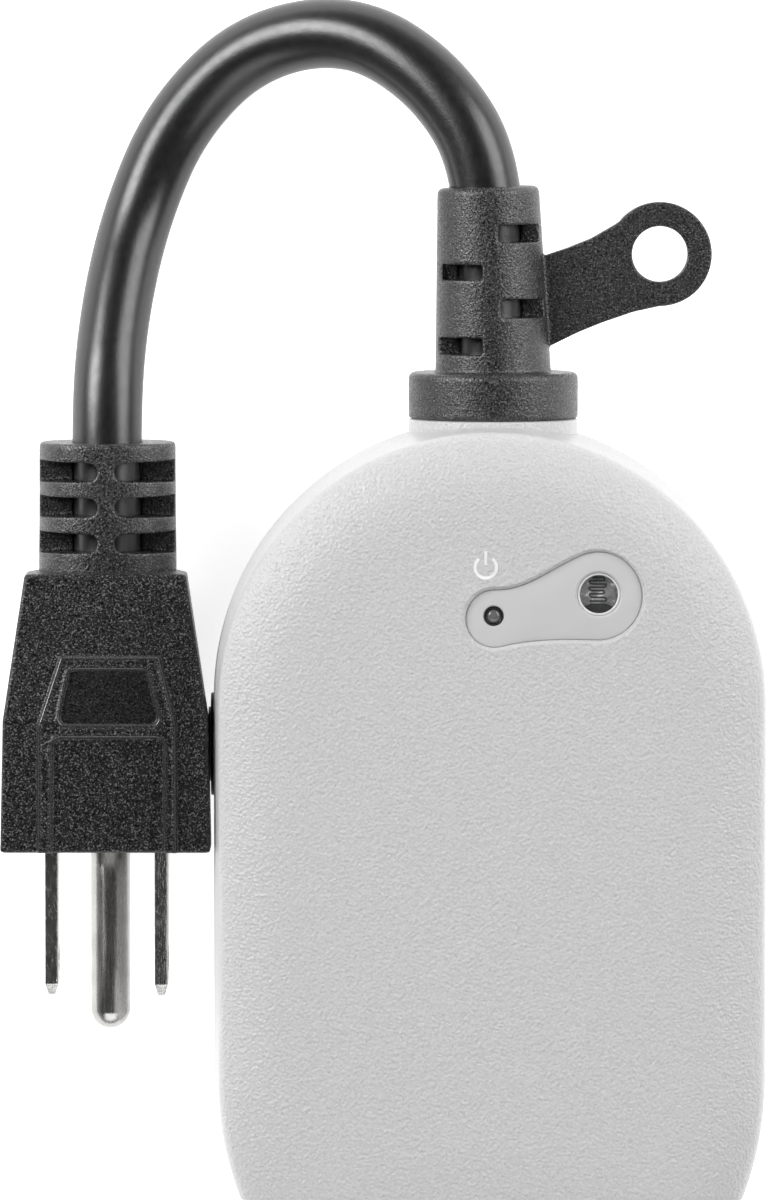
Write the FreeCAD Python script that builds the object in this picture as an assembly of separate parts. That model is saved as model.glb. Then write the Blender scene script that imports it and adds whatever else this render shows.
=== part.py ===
import FreeCAD, Part
import math
import os

V = FreeCAD.Vector

# Outdoor smart plug: an arch-topped two-shell housing with two covered outlets on its
# lower end, a light sensor and status lamp on its front, a push button on its left
# flank, a moulded strain relief with a hanging tab on its crown, and a short lead with
# a moulded grounded plug. Millimetres. The part lies on its flat back: +X across the
# front, +Y towards the strain relief, +Z out of the front. The origin is on the back
# face, on the centreline, 45 mm below the crown.

# ---- driving dimensions ----------------------------------------------------------
HALF_W = 32.0            # half of the housing's width at the parting plane
ARCH_Y = 13.0            # height of the centre of the arch
FLARE_Y = -30.0          # where the sides start to taper to the lower end
FLARE_R = 39.0           # radius of that taper
END_Y = -44.0            # lower end at the parting plane
END_BOW = 0.4            # the lower end bows outwards by this much at its middle
CORNER_R = 1.0
PART_Z = 19.0            # parting plane between the shells
FRONT_Z = 38.0           # top of the crowned front
WALL = 2.4
CAVITY_TOP = 35.6

NECK_R = 9.8             # collar seat on the crown
NECK_TOP = 45.1
NECK_BORE = 6.6
FLANGE_POCKET_R = 8.1

COLLAR_X = 0.3
COLLAR_R = 9.78
COLLAR_TOP = 50.45
BOOT_R0, BOOT_R1 = 6.68, 5.86
BOOT_TOP = (-0.31, 71.8)
TAB_T = 2.4
TAB_RING = (19.47, 64.05)
TAB_RING_R = 6.0
TAB_HOLE_R = 3.2

CORD_R = 4.05
# route of the free lead, from inside the strain relief to inside the plug's tail
CORD_ROUTE = [(-0.23, 64.2, 19.0), (-0.08, 73.91, 19.4), (-6.07, 83.99, 16.9),
              (-15.96, 90.19, 12.2), (-27.74, 88.09, 7.0), (-36.38, 79.55, 4.1),
              (-41.10, 68.70, 4.1), (-43.62, 57.71, 8.9), (-44.60, 46.29, 13.4),
              (-44.40, 36.8, 13.5)]

PLUG_X = -44.4
PLUG_FACE_Y = -4.7
PLUG_KINK_Y = 10.5
PLUG_TOP_Y = 27.3
TAIL_TOP_Y = 42.1
TAIL_HALF_W = 8.0
TAIL_Z = 13.5
PLUG_H = 26.0
FRAME_RISE = 0.35
BLADE_PITCH = 12.7
BLADE_T, BLADE_W = 1.5, 6.35
BLADE_Z = 18.4
BLADE_TIP_Y = -21.6
GROUND_R = 2.30
GROUND_Z = 6.5
GROUND_TIP_Y = -27.1

MOUTH = (26.2, 2.8, 32.6)    # half-width, low z and high z of the outlet mouth
OUTLET_X = 13.2
SLOT_Z = 24.0
EARTH_Z = 12.1
EARTH_R = 2.6
HINGE_Y, HINGE_Z = -42.65, 4.4
HINGE_PIN_R, HINGE_BORE_R = 0.75, 0.80
LID_X0, LID_X1 = 0.4, 25.8

BTN_Y, BTN_Z = 6.8, 12.0

LAMP = (0.15, 23.45)
CELL = (12.09, 25.93)

os.makedirs("parts", exist_ok=True)


# ---- helpers ---------------------------------------------------------------------
def box(x0, x1, y0, y1, z0, z1):
    return Part.makeBox(x1 - x0, y1 - y0, z1 - z0, V(x0, y0, z0))


def cyl(r, p, q):
    a, b = V(*p), V(*q)
    return Part.makeCylinder(r, (b - a).Length, a, b - a)


def cone(r0, r1, p, q):
    a, b = V(*p), V(*q)
    return Part.makeCone(r0, r1, (b - a).Length, a, b - a)


def ring(r0, r1, p, q):
    return cyl(r1, p, q).cut(cyl(r0, p, q))


def fuse(first, *rest):
    for s in rest:
        first = first.fuse(s)
    return first.removeSplitter()


def seg(a, b):
    return Part.LineSegment(V(*a), V(*b)).toShape()


def arc(a, m, b):
    return Part.Arc(V(*a), V(*m), V(*b)).toShape()


def prism(edges, dx, dy, dz):
    return Part.Face(Part.Wire(edges)).extrude(V(dx, dy, dz))


def soften(shape, radius, test):
    """Round the edges that pass the test; leave the shape as it is if they can't be."""
    picked = [e for e in shape.Edges if test(e)]
    if not picked:
        return shape
    try:
        out = shape.makeFillet(radius, picked)
        if out.isValid() and out.Volume > 0:
            return out
    except Exception:
        pass
    print("not rounded at", radius)
    return shape


def outline(o, z, oe=None, rc=CORNER_R):
    """The housing's outline, moved inwards by o, and by oe at its lower end, at height z."""
    w = HALF_W - o
    tr = FLARE_R - o
    end = END_Y + (o if oe is None else oe)
    tc = HALF_W - FLARE_R          # x of the taper's centre on the right-hand side
    cy = end + rc
    cx = tc + math.sqrt((tr - rc) ** 2 - (cy - FLARE_Y) ** 2)
    d = math.hypot(cx - tc, cy - FLARE_Y)
    tx, ty = tc + tr * (cx - tc) / d, FLARE_Y + tr * (cy - FLARE_Y) / d
    half = 0.5 * math.atan2(ty - FLARE_Y, tx - tc)
    mx, my = tc + tr * math.cos(half), FLARE_Y + tr * math.sin(half)
    ang0 = math.atan2(ty - cy, tx - cx)
    am = 0.5 * (ang0 - math.pi / 2)
    kx, ky = cx + rc * math.cos(am), cy + rc * math.sin(am)
    s = math.sqrt(0.5)
    return Part.Wire([
        arc((w, ARCH_Y, z), (w * s, ARCH_Y + w * s, z), (0, ARCH_Y + w, z)),
        arc((0, ARCH_Y + w, z), (-w * s, ARCH_Y + w * s, z), (-w, ARCH_Y, z)),
        seg((-w, ARCH_Y, z), (-w, FLARE_Y, z)),
        arc((-w, FLARE_Y, z), (-mx, my, z), (-tx, ty, z)),
        arc((-tx, ty, z), (-kx, ky, z), (-cx, end, z)),
        arc((-cx, end, z), (0, end - END_BOW, z), (cx, end, z)),
        arc((cx, end, z), (kx, ky, z), (tx, ty, z)),
        arc((tx, ty, z), (mx, my, z), (w, FLARE_Y, z)),
        seg((w, FLARE_Y, z), (w, ARCH_Y, z))])


def stack(sections):
    return Part.makeLoft([outline(*q) for q in sections], True, True)


def stadium_x(y, z, length, height, x0, x1):
    """A slot-shaped bar along X: its length is along Y and its height along Z."""
    r = height / 2.0
    h = length / 2.0 - r
    return prism([seg((x0, y - h, z - r), (x0, y + h, z - r)),
                  arc((x0, y + h, z - r), (x0, y + h + r, z), (x0, y + h, z + r)),
                  seg((x0, y + h, z + r), (x0, y - h, z + r)),
                  arc((x0, y - h, z + r), (x0, y - h - r, z), (x0, y - h, z - r))],
                 x1 - x0, 0, 0)


def tube(points, r, label=None):
    """A round bar along straight runs joined by tangent arcs."""
    p = [V(*q) for q in points]
    edges, start, length, radii = [], p[0], 0.0, []
    for i in range(1, len(p) - 1):
        a, b, c = p[i - 1], p[i], p[i + 1]
        u, w = (a - b), (c - b)
        short = min(u.Length, w.Length)
        u.normalize()
        w.normalize()
        turn = math.pi - u.getAngle(w)
        t = 0.45 * short
        rad = t / math.tan(turn / 2)
        bis = u + w
        bis.normalize()
        p1, p2 = b + u * t, b + w * t
        mid = b + bis * (rad / math.cos(turn / 2) - rad)
        edges.append(Part.LineSegment(start, p1).toShape())
        edges.append(Part.Arc(p1, mid, p2).toShape())
        length += (p1 - start).Length + rad * turn
        radii.append(round(rad, 1))
        start = p2
    edges.append(Part.LineSegment(start, p[-1]).toShape())
    length += (p[-1] - start).Length
    path = Part.Wire(edges)
    mouth = Part.Wire([Part.Circle(p[0], p[1] - p[0], r).toShape()])
    s = path.makePipeShell([mouth], True, False)
    if label:
        ideal = math.pi * r * r * length
        print(label, "length %.1f" % length, "radii", radii,
              "volume / ideal %.4f" % (s.Volume / ideal))
    return s


NODES = {}


def keep(name, shape):
    if isinstance(shape, list):
        shape = Part.makeCompound(shape)
    elif len(shape.Solids) == 1:
        shape = shape.Solids[0]
    NODES[name] = shape


# ---- housing shells --------------------------------------------------------------
# the front: drafted flank, soft edge, then a low crown
front = stack([(0.0, PART_Z, 0.0), (0.80, 34.2, 0.06), (1.6, 35.5, 0.10), (3.0, 36.5, 0.18),
               (5.0, 37.25, 0.32), (8.0, 37.8, 0.60), (11.5, FRONT_Z, 1.0)])
front = front.cut(stack([(WALL, PART_Z), (WALL, 33.0), (4.6, CAVITY_TOP)]))
# the rear: drafted flank, small edge, flat back
rear = stack([(2.2, 0.0), (1.3, 0.6), (0.85, 2.0), (0.0, PART_Z)])
rear = rear.cut(stack([(WALL, WALL), (WALL, PART_Z)]))

neck = cyl(NECK_R, (COLLAR_X, 37.8, PART_Z), (COLLAR_X, NECK_TOP, PART_Z))
neck_hole = fuse(cyl(NECK_BORE, (COLLAR_X, 37.0, PART_Z), (COLLAR_X, 46.0, PART_Z)),
                 cyl(FLANGE_POCKET_R, (COLLAR_X, 40.2, PART_Z), (COLLAR_X, 42.7, PART_Z)))
upper = box(-60, 60, -60, 60, PART_Z, 60)
lower = box(-60, 60, -60, 60, -10, PART_Z)
front = front.fuse(neck.common(upper)).cut(neck_hole)
rear = rear.fuse(neck.common(lower)).cut(neck_hole)

mouth = box(-MOUTH[0], MOUTH[0], -47, -40, MOUTH[1], MOUTH[2])
front = front.cut(mouth)
rear = rear.cut(mouth)

# shallow blank field for a rating plate on the back
rear = rear.cut(box(-16.0, 16.0, -12.0, 10.0, -1.0, 0.3))

# screw posts
POSTS = [(25.0, 20.0), (-25.0, 20.0), (25.8, -20.0), (-25.8, -20.0)]
for x, y in POSTS:
    post = cyl(3.2, (x, y, PART_Z), (x, y, 35.9))
    front = front.fuse(post).cut(cyl(1.40, (x, y, PART_Z - 1), (x, y, 31.0)))
    rear = rear.fuse(cyl(4.2, (x, y, 0.4), (x, y, PART_Z)).common(
        stack([(2.2, 0.0), (1.3, 0.6), (0.85, 2.0), (0.0, PART_Z)])))
    rear = rear.cut(cyl(1.65, (x, y, -1), (x, y, PART_Z + 1))).cut(
        cyl(3.0, (x, y, -1), (x, y, 3.6)))
screws = []
for x, y in POSTS:
    s = cyl(1.32, (x, y, 3.3), (x, y, 29.5)).fuse(cyl(2.8, (x, y, 1.2), (x, y, 3.55)))
    s = s.cut(box(x - 2.0, x + 2.0, y - 0.35, y + 0.35, 0.5, 2.3)).cut(
        box(x - 0.35, x + 0.35, y - 2.0, y + 2.0, 0.5, 2.3))
    screws.append(s.removeSplitter())

# board posts in the rear shell
BOARD_Z = 7.5
BOARD_T = 1.6
BOARD_POSTS = [(17.5, -17.5), (-17.5, 26.5), (17.5, 26.5), (-17.5, -19.0)]
for x, y in BOARD_POSTS:
    rear = rear.fuse(cyl(2.5, (x, y, 2.0), (x, y, BOARD_Z))).cut(
        cyl(1.1, (x, y, 3.4), (x, y, 10)))

# recess for the sensor bezel, with the ways through for the lamp and the cell
LOBE_A, LOBE_AR = (0.25, 23.18), 3.20
LOBE_B, LOBE_BR = (11.99, 25.75), 4.94


def peanut(grow, z0, z1):
    ra, rb = LOBE_AR + grow, LOBE_BR + grow
    ax, ay = LOBE_A
    bx, by = LOBE_B

    def on(cx, cy, r, deg):
        return (cx + r * math.cos(math.radians(deg)), cy + r * math.sin(math.radians(deg)), z0)
    a_up, a_low = on(ax, ay, ra, 88), on(ax, ay, ra, 276)
    b_up, b_low = on(bx, by, rb, 112), on(bx, by, rb, 270)
    waist = (5.60 - 0.4 * grow, 27.95 + grow, z0)
    return prism([arc(a_up, on(ax, ay, ra, 171), a_low), seg(a_low, b_low),
                  arc(b_low, on(bx, by, rb, 14), b_up), arc(b_up, waist, a_up)],
                 0, 0, z1 - z0)


BEZEL_FLOOR, BEZEL_TOP = 36.4, 37.5
front = front.cut(peanut(0.12, BEZEL_FLOOR, 40))
front = front.cut(cyl(1.3, (LAMP[0], LAMP[1], 34), (LAMP[0], LAMP[1], 38)))
front = front.cut(cyl(2.7, (CELL[0], CELL[1], 34), (CELL[0], CELL[1], 38)))
bezel = peanut(0.0, BEZEL_FLOOR, BEZEL_TOP)
bezel = bezel.cut(cyl(1.15, (LAMP[0], LAMP[1], 34), (LAMP[0], LAMP[1], 39)))
bezel = bezel.cut(cyl(2.42, (CELL[0], CELL[1], 34), (CELL[0], CELL[1], 39)))
keep("sensor_bezel", bezel)

# button opening in the left flank of the rear shell
rear = rear.cut(stadium_x(BTN_Y, BTN_Z, 11.2, 6.2, -34, -27.5))

# gasket groove along the parting plane
G0, G1, GZ = 0.9, 1.6, 0.4
groove = Part.Face(outline(G0, PART_Z - GZ)).extrude(V(0, 0, 2 * GZ)).cut(
    Part.Face(outline(G1, PART_Z - GZ)).extrude(V(0, 0, 2 * GZ)))
groove = groove.cut(cyl(8.5, (COLLAR_X, 30, PART_Z), (COLLAR_X, 50, PART_Z)))
groove = groove.cut(box(-MOUTH[0] - 0.6, MOUTH[0] + 0.6, -47, -38, 10, 30))
front = front.cut(groove)
rear = rear.cut(groove)
sides = sorted(groove.Solids, key=lambda s: s.CenterOfMass.x)
keep("gasket_left", sides[0])
keep("gasket_right", sides[-1])

keep("front_shell", front.removeSplitter())
keep("rear_shell", rear.removeSplitter())
keep("housing_screws", screws)

# ---- strain relief: collar, boot, hanging tab, inner flange, one moulding --------
collar = cyl(COLLAR_R, (COLLAR_X, NECK_TOP, PART_Z), (COLLAR_X, COLLAR_TOP, PART_Z))
collar = soften(collar, 0.7, lambda e: abs(e.CenterOfMass.y - COLLAR_TOP) < 0.01)
collar = soften(collar, 0.4, lambda e: abs(e.CenterOfMass.y - NECK_TOP) < 0.01)
root_part = fuse(cyl(6.45, (COLLAR_X, 38.3, PART_Z), (COLLAR_X, NECK_TOP, PART_Z)),
                 cyl(7.95, (COLLAR_X, 40.4, PART_Z), (COLLAR_X, 42.5, PART_Z)))
boot = cone(BOOT_R0 + 0.02, BOOT_R1, (COLLAR_X, COLLAR_TOP - 0.5, PART_Z),
            (BOOT_TOP[0], BOOT_TOP[1], PART_Z))
boot = soften(boot, 0.8, lambda e: e.CenterOfMass.y > 71.0 and e.Length > 20)
TAB = [(0.5, 63.9), (6.22, 63.9), (8.78, 64.75), (11.57, 65.87), (14.37, 67.49),
       (16.20, 68.82), (17.6, 69.65)]
TAB_LOW = [(22.30, 58.75), (19.98, 58.17), (16.47, 57.40), (12.97, 56.21), (10.17, 55.08),
           (7.02, 53.55), (0.5, 53.4)]
zt = PART_Z - TAB_T / 2
arm_pts = [(x, y, zt) for x, y in TAB] + [(x, y, zt) for x, y in
                                         [(20.6, 66.5), (22.0, 62.0)]] + \
          [(x, y, zt) for x, y in TAB_LOW]
arm = prism([seg(arm_pts[i], arm_pts[(i + 1) % len(arm_pts)]) for i in range(len(arm_pts))],
            0, 0, TAB_T)
eye = cyl(TAB_RING_R, (TAB_RING[0], TAB_RING[1], zt), (TAB_RING[0], TAB_RING[1], zt + TAB_T))
tab = fuse(arm, eye)
relief = fuse(root_part, collar, boot, tab)
relief = relief.cut(cyl(TAB_HOLE_R, (TAB_RING[0], TAB_RING[1], 10),
                        (TAB_RING[0], TAB_RING[1], 30)))
WINDOWS = [(0.79, 5.49, 65.5, 67.5), (-5.6, -1.0, 61.15, 62.9),
           (1.1, 6.1, 56.85, 58.96), (-6.0, -0.97, 52.6, 54.5)]
for x0, x1, y0, y1 in WINDOWS:
    relief = relief.cut(box(x0, x1, y0, y1, PART_Z + 2.1, 40))
    relief = relief.cut(box(x0, x1, y0, y1, 0, PART_Z - 2.1))

# ---- the lead --------------------------------------------------------------------
cord_root = tube([(COLLAR_X, 38.0, PART_Z), (COLLAR_X - 0.2, 51.0, PART_Z), CORD_ROUTE[0]],
                 CORD_R, "cord_root")
cord = tube(CORD_ROUTE, CORD_R, "cord_jacket")
tail_end = cyl(CORD_R, CORD_ROUTE[-1], (PLUG_X, 22.0, TAIL_Z))
keep("cord_jacket", cord)
keep("cord_root", cord_root.cut(cord))
keep("cord_tail", tail_end.cut(cord))
keep("strain_relief", relief.cut(cord_root).cut(cord).removeSplitter())

# ---- plug ------------------------------------------------------------------------


def plug_section(y, w, z0, z1):
    """A wide flat upper side, narrowing towards the ground pin's side."""
    h = z1 - z0
    p = [(-w + 0.5, z1), (w - 0.5, z1), (w, z1 - 0.5), (w, z0 + 0.66 * h),
         (w - 0.27 * h * 0.62, z0 + 0.16 * h), (w - 0.32 * h, z0),
         (-w + 0.32 * h, z0), (-w + 0.27 * h * 0.62, z0 + 0.16 * h),
         (-w, z0 + 0.66 * h), (-w, z1 - 0.5)]
    q = [(PLUG_X + x, y, z) for x, z in p]
    return Part.Wire([seg(q[i], q[(i + 1) % len(q)]) for i in range(len(q))])


BASE_H = PLUG_H - FRAME_RISE
plug = Part.makeLoft([plug_section(PLUG_FACE_Y, 12.1, 0.0, BASE_H),
                      plug_section(PLUG_KINK_Y, 11.78, 0.0, BASE_H)], True, True)
plug = plug.fuse(Part.makeLoft([plug_section(PLUG_KINK_Y, 11.78, 0.0, BASE_H),
                                plug_section(PLUG_TOP_Y, 9.29, 3.5, 23.4)], True, True))
lifted = plug.copy()
lifted.translate(V(0, 0, FRAME_RISE))
tail = box(PLUG_X - TAIL_HALF_W, PLUG_X + TAIL_HALF_W, PLUG_TOP_Y - 0.5, TAIL_TOP_Y,
           TAIL_Z - 7.0, TAIL_Z + 7.0)
tail = soften(tail, 6.3, lambda e: abs(e.Vertexes[0].Y - e.Vertexes[-1].Y) > 5)
plug = plug.fuse(tail).removeSplitter()
# three rows of slots either side of a central spine, front and rear, down to the web
for y1 in (39.94, 35.87, 31.71):
    ym = y1 - 1.085
    for side in (-1, 1):
        xi, xo = PLUG_X + side * 2.0, PLUG_X + side * 9.2
        for z0, z1 in ((TAIL_Z + 1.1, 30), (-1, TAIL_Z - 1.1)):
            plug = plug.cut(prism([
                seg((xi, ym - 1.05, z0), (xo, ym - 1.28, z0)),
                seg((xo, ym - 1.28, z0), (xo, ym + 1.28, z0)),
                seg((xo, ym + 1.28, z0), (xi, ym + 1.05, z0)),
                arc((xi, ym + 1.05, z0), (xi - side * 1.05, ym, z0), (xi, ym - 1.05, z0))],
                0, 0, z1 - z0))
# panel relief of the wide side: a raised frame round a trapezoid and a lower field


def panel(pts, z0, z1):
    q = [(x, y, z0) for x, y in pts]
    return prism([seg(q[i], q[(i + 1) % len(q)]) for i in range(len(q))], 0, 0, z1 - z0)


frame = panel([(-49.55, 17.9), (-38.1, 17.9), (-36.2, 10.0), (-36.15, -4.7), (-52.2, -4.7),
               (-52.15, 10.0)], 20, 30)
frame = frame.cut(panel([(-48.5, 16.4), (-39.66, 16.4), (-38.1, 10.15), (-49.8, 10.15)], 19, 31))
frame = frame.cut(panel([(-50.4, 8.6), (-37.6, 8.6), (-37.7, -5.7), (-50.55, -5.7)], 19, 31))
plug = plug.fuse(lifted.common(frame))
# shallow pocket for the insert, and the seats of the blades and the ground pin
insert = box(PLUG_X - 9.6, PLUG_X + 9.6, PLUG_FACE_Y - 0.25, PLUG_FACE_Y + 2.2, 14.2, 22.8)
insert = insert.fuse(cyl(4.6, (PLUG_X, PLUG_FACE_Y - 0.25, GROUND_Z + 0.2),
                         (PLUG_X, PLUG_FACE_Y + 2.2, GROUND_Z + 0.2))).fuse(
    box(PLUG_X - 3.0, PLUG_X + 3.0, PLUG_FACE_Y - 0.25, PLUG_FACE_Y + 2.2, GROUND_Z, 15.0))
insert = insert.removeSplitter()


def blade(x, half):
    """A flat blade with its tip bevelled on all four sides."""
    t = BLADE_T / 2
    y0, y1, yt = 6.0, BLADE_TIP_Y + 1.3, BLADE_TIP_Y
    z, zt = BLADE_Z - half, BLADE_Z + half
    q = [(x - t, y0, z), (x + t, y0, z), (x + t, y1, z), (x + 0.42, yt, z),
         (x - 0.42, yt, z), (x - t, y1, z)]
    b = prism([seg(q[i], q[(i + 1) % 6]) for i in range(6)], 0, 0, 2 * half)
    q = [(x - t - 1, y0 + 1, z), (x - t - 1, y1, z), (x - t - 1, yt, z + 0.8),
         (x - t - 1, yt, zt - 0.8), (x - t - 1, y1, zt), (x - t - 1, y0 + 1, zt)]
    b = b.common(prism([seg(q[i], q[(i + 1) % 6]) for i in range(6)], 2 * t + 2, 0, 0))
    return b.cut(cyl(1.5, (x - 5, -17.6, BLADE_Z), (x + 5, -17.6, BLADE_Z)))


line_blade = blade(PLUG_X - BLADE_PITCH / 2, BLADE_W / 2)
neutral_blade = blade(PLUG_X + BLADE_PITCH / 2, 3.97)
pin_r = GROUND_R
PIN_SHOULDER_Y = PLUG_FACE_Y - 0.25
ground_pin = cyl(pin_r, (PLUG_X, PIN_SHOULDER_Y, GROUND_Z),
                 (PLUG_X, GROUND_TIP_Y + pin_r, GROUND_Z))
ground_pin = fuse(ground_pin, cyl(1.8, (PLUG_X, 8.0, GROUND_Z), (PLUG_X, PIN_SHOULDER_Y - 1, GROUND_Z)),
                  Part.makeSphere(pin_r, V(PLUG_X, GROUND_TIP_Y + pin_r, GROUND_Z)).cut(
                      box(-60, -30, GROUND_TIP_Y + pin_r, 10, 0, 20)))
metal = [line_blade, neutral_blade, ground_pin]
plug = plug.cut(insert)
for m in metal:
    insert = insert.cut(m)
    plug = plug.cut(m)
plug = plug.cut(cord).cut(tail_end)
keep("plug_body", plug.removeSplitter())
keep("plug_insert", insert)
keep("plug_line_blade", line_blade)
keep("plug_neutral_blade", neutral_blade)
keep("plug_ground_pin", ground_pin)

# ---- outlet end ------------------------------------------------------------------
PLATE_Y0, PLATE_Y1 = -40.6, -38.2
plate = box(-27.0, 27.0, PLATE_Y0, PLATE_Y1, 2.5, 33.0)
rim = box(-27.0, 27.0, -41.5, PLATE_Y0, 2.5, 33.0).cut(
    box(-25.2, 25.2, -42.0, PLATE_Y0 + 0.1, 2.0, 31.4))
plate = plate.fuse(rim)
for s in (-1, 1):
    for a, b in ((2.0, 4.0), (22.2, 24.2)):
        x0, x1 = sorted((s * a, s * b))
        ear = box(x0, x1, HINGE_Y, PLATE_Y0, HINGE_Z - 1.1, HINGE_Z + 1.1).fuse(
            cyl(1.1, (x0, HINGE_Y, HINGE_Z), (x1, HINGE_Y, HINGE_Z)))
        plate = plate.fuse(ear.cut(cyl(HINGE_PIN_R, (x0 - 1, HINGE_Y, HINGE_Z),
                                       (x1 + 1, HINGE_Y, HINGE_Z))))
NEUTRAL_X = (-OUTLET_X - BLADE_PITCH / 2, OUTLET_X - BLADE_PITCH / 2)
LINE_X = (-OUTLET_X + BLADE_PITCH / 2, OUTLET_X + BLADE_PITCH / 2)
for x in NEUTRAL_X:
    plate = plate.cut(box(x - 1.0, x + 1.0, -45, -30, SLOT_Z - 4.3, SLOT_Z + 4.3))
for x in LINE_X:
    plate = plate.cut(box(x - 1.0, x + 1.0, -45, -30, SLOT_Z - 3.5, SLOT_Z + 3.5))
for x in (-OUTLET_X, OUTLET_X):
    plate = plate.cut(cyl(EARTH_R, (x, -45, EARTH_Z), (x, -30, EARTH_Z)))
keep("outlet_face", plate.removeSplitter())

pins = []
for s in (-1, 1):
    x0, x1 = sorted((s * 2.0, s * 24.2))
    pins.append(cyl(HINGE_PIN_R, (x0, HINGE_Y, HINGE_Z), (x1, HINGE_Y, HINGE_Z)))
keep("hinge_pins", pins)

for side, s in (("left", -1), ("right", 1)):
    x0, x1 = sorted((s * LID_X0, s * LID_X1))
    lid = box(x0, x1, -43.4, -41.9, HINGE_Z + 1.5, 32.2)
    lid = soften(lid, 1.6, lambda e: e.Length < 1.6 and e.CenterOfMass.z > 30)
    k0, k1 = sorted((s * 4.3, s * 21.9))
    lid = lid.fuse(box(k0, k1, -43.4, -41.9, HINGE_Z, HINGE_Z + 1.6))
    lid = lid.fuse(cyl(1.1, (k0, HINGE_Y, HINGE_Z), (k1, HINGE_Y, HINGE_Z)))
    lid = lid.cut(cyl(HINGE_BORE_R, (k0 - 1, HINGE_Y, HINGE_Z), (k1 + 1, HINGE_Y, HINGE_Z)))
    xc = s * (LID_X0 + LID_X1) / 2
    lid = lid.fuse(box(xc - 4.0, xc + 4.0, -44.0, -43.3, 30.2, 31.4))
    keep("lid_" + side, lid.removeSplitter())
    keep("lid_seal_" + side, box(xc - 10.5, xc + 10.5, -41.9, -41.25, 8.0, 29.5))

# insulating carrier behind the outlet plate, with its pockets, and the contact bars
carrier = box(-25.0, 25.0, PLATE_Y1, -27.6, 7.5, 30.6)
for x in NEUTRAL_X + LINE_X:
    carrier = carrier.cut(box(x - 2.4, x + 2.4, -45, -20, SLOT_Z - 4.6, SLOT_Z + 4.6))
for x in (-OUTLET_X, OUTLET_X):
    carrier = carrier.cut(box(x - 4.2, x + 4.2, -45, -20, EARTH_Z - 4.0, EARTH_Z + 4.0))
keep("contact_carrier", carrier)


def contact_bar(xs, gap, leaf, z0, z1, y_end, strip, rise):
    out = None
    for x in xs:
        c = box(x - gap - leaf, x - gap, -37.5, y_end, z0, z1).fuse(
            box(x + gap, x + gap + leaf, -37.5, y_end, z0, z1)).fuse(
            box(x - gap - leaf, x + gap + leaf, y_end - 0.8, y_end, z0, max(z1, rise)))
        out = c if out is None else out.fuse(c)
    return out.fuse(box(min(xs) - gap - leaf, max(xs) + gap + leaf, y_end - 0.8, y_end,
                        strip[0], strip[1])).removeSplitter()


keep("neutral_contact_bar", contact_bar(NEUTRAL_X, 1.0, 0.5, 20.8, 27.0, -26.2,
                                        (27.9, 30.4), 30.4))
keep("line_contact_bar", contact_bar(LINE_X, 1.0, 0.5, 20.8, 27.0, -24.4,
                                     (21.2, 24.2), 27.0))
keep("ground_contact_bar", contact_bar((-OUTLET_X, OUTLET_X), 2.75, 0.5, 9.6, 14.6, -26.2,
                                       (10.4, 13.4), 14.6))

# ---- push button on the left flank -----------------------------------------------
seal = stadium_x(BTN_Y, BTN_Z, 11.1, 6.1, -32.45, -29.2).cut(
    stadium_x(BTN_Y, BTN_Z, 9.2, 4.4, -34, -27))
seal = seal.fuse(stadium_x(BTN_Y, BTN_Z, 12.0, 7.0, -32.45, -31.95).cut(
    stadium_x(BTN_Y, BTN_Z, 9.2, 4.4, -34, -27)))
keep("button_seal", seal.removeSplitter())
button = stadium_x(BTN_Y, BTN_Z, 8.7, 3.9, -32.75, -28.4)
button = button.fuse(stadium_x(BTN_Y, BTN_Z, 10.4, 5.4, -28.85, -28.1))
button = button.fuse(cyl(1.5, (-28.3, BTN_Y, BTN_Z), (-27.0, BTN_Y, BTN_Z)))
mark = stadium_x(BTN_Y - 2.0, BTN_Z, 2.6, 1.9, -32.80, -32.3)
button = button.cut(mark)
keep("power_button", button.removeSplitter())
keep("button_mark", mark)
SW_X0, SW_X1 = -20.4, -15.9
switch = box(SW_X0, SW_X1, BTN_Y - 3.1, BTN_Y + 3.1, BOARD_Z + BOARD_T, BOARD_Z + BOARD_T + 6.0)
switch = switch.cut(cyl(1.82, (SW_X0 - 1, BTN_Y, BTN_Z), (SW_X0 + 2.2, BTN_Y, BTN_Z)))
keep("tact_switch", switch)
keep("switch_plunger", cyl(1.75, (-26.4, BTN_Y, BTN_Z), (SW_X0 + 1.8, BTN_Y, BTN_Z)))

# ---- lamp and light sensor -------------------------------------------------------
keep("lamp_lens", cyl(1.13, (LAMP[0], LAMP[1], 35.2), (LAMP[0], LAMP[1], 37.2)))
keep("cell_window", cyl(2.40, (CELL[0], CELL[1], 36.5), (CELL[0], CELL[1], 37.2)))
SB_Z = 31.0
keep("photocell", fuse(cyl(2.3, (CELL[0], CELL[1], SB_Z + 1.4), (CELL[0], CELL[1], 36.3))))
keep("status_led", fuse(cyl(1.2, (LAMP[0], LAMP[1], SB_Z + 1.4), (LAMP[0], LAMP[1], 34.9)),
                        cyl(1.6, (LAMP[0], LAMP[1], SB_Z + 1.4), (LAMP[0], LAMP[1], 32.9))))
keep("sensor_board", box(-5.0, 17.5, 17.5, 31.0, SB_Z, SB_Z + 1.4))

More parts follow.
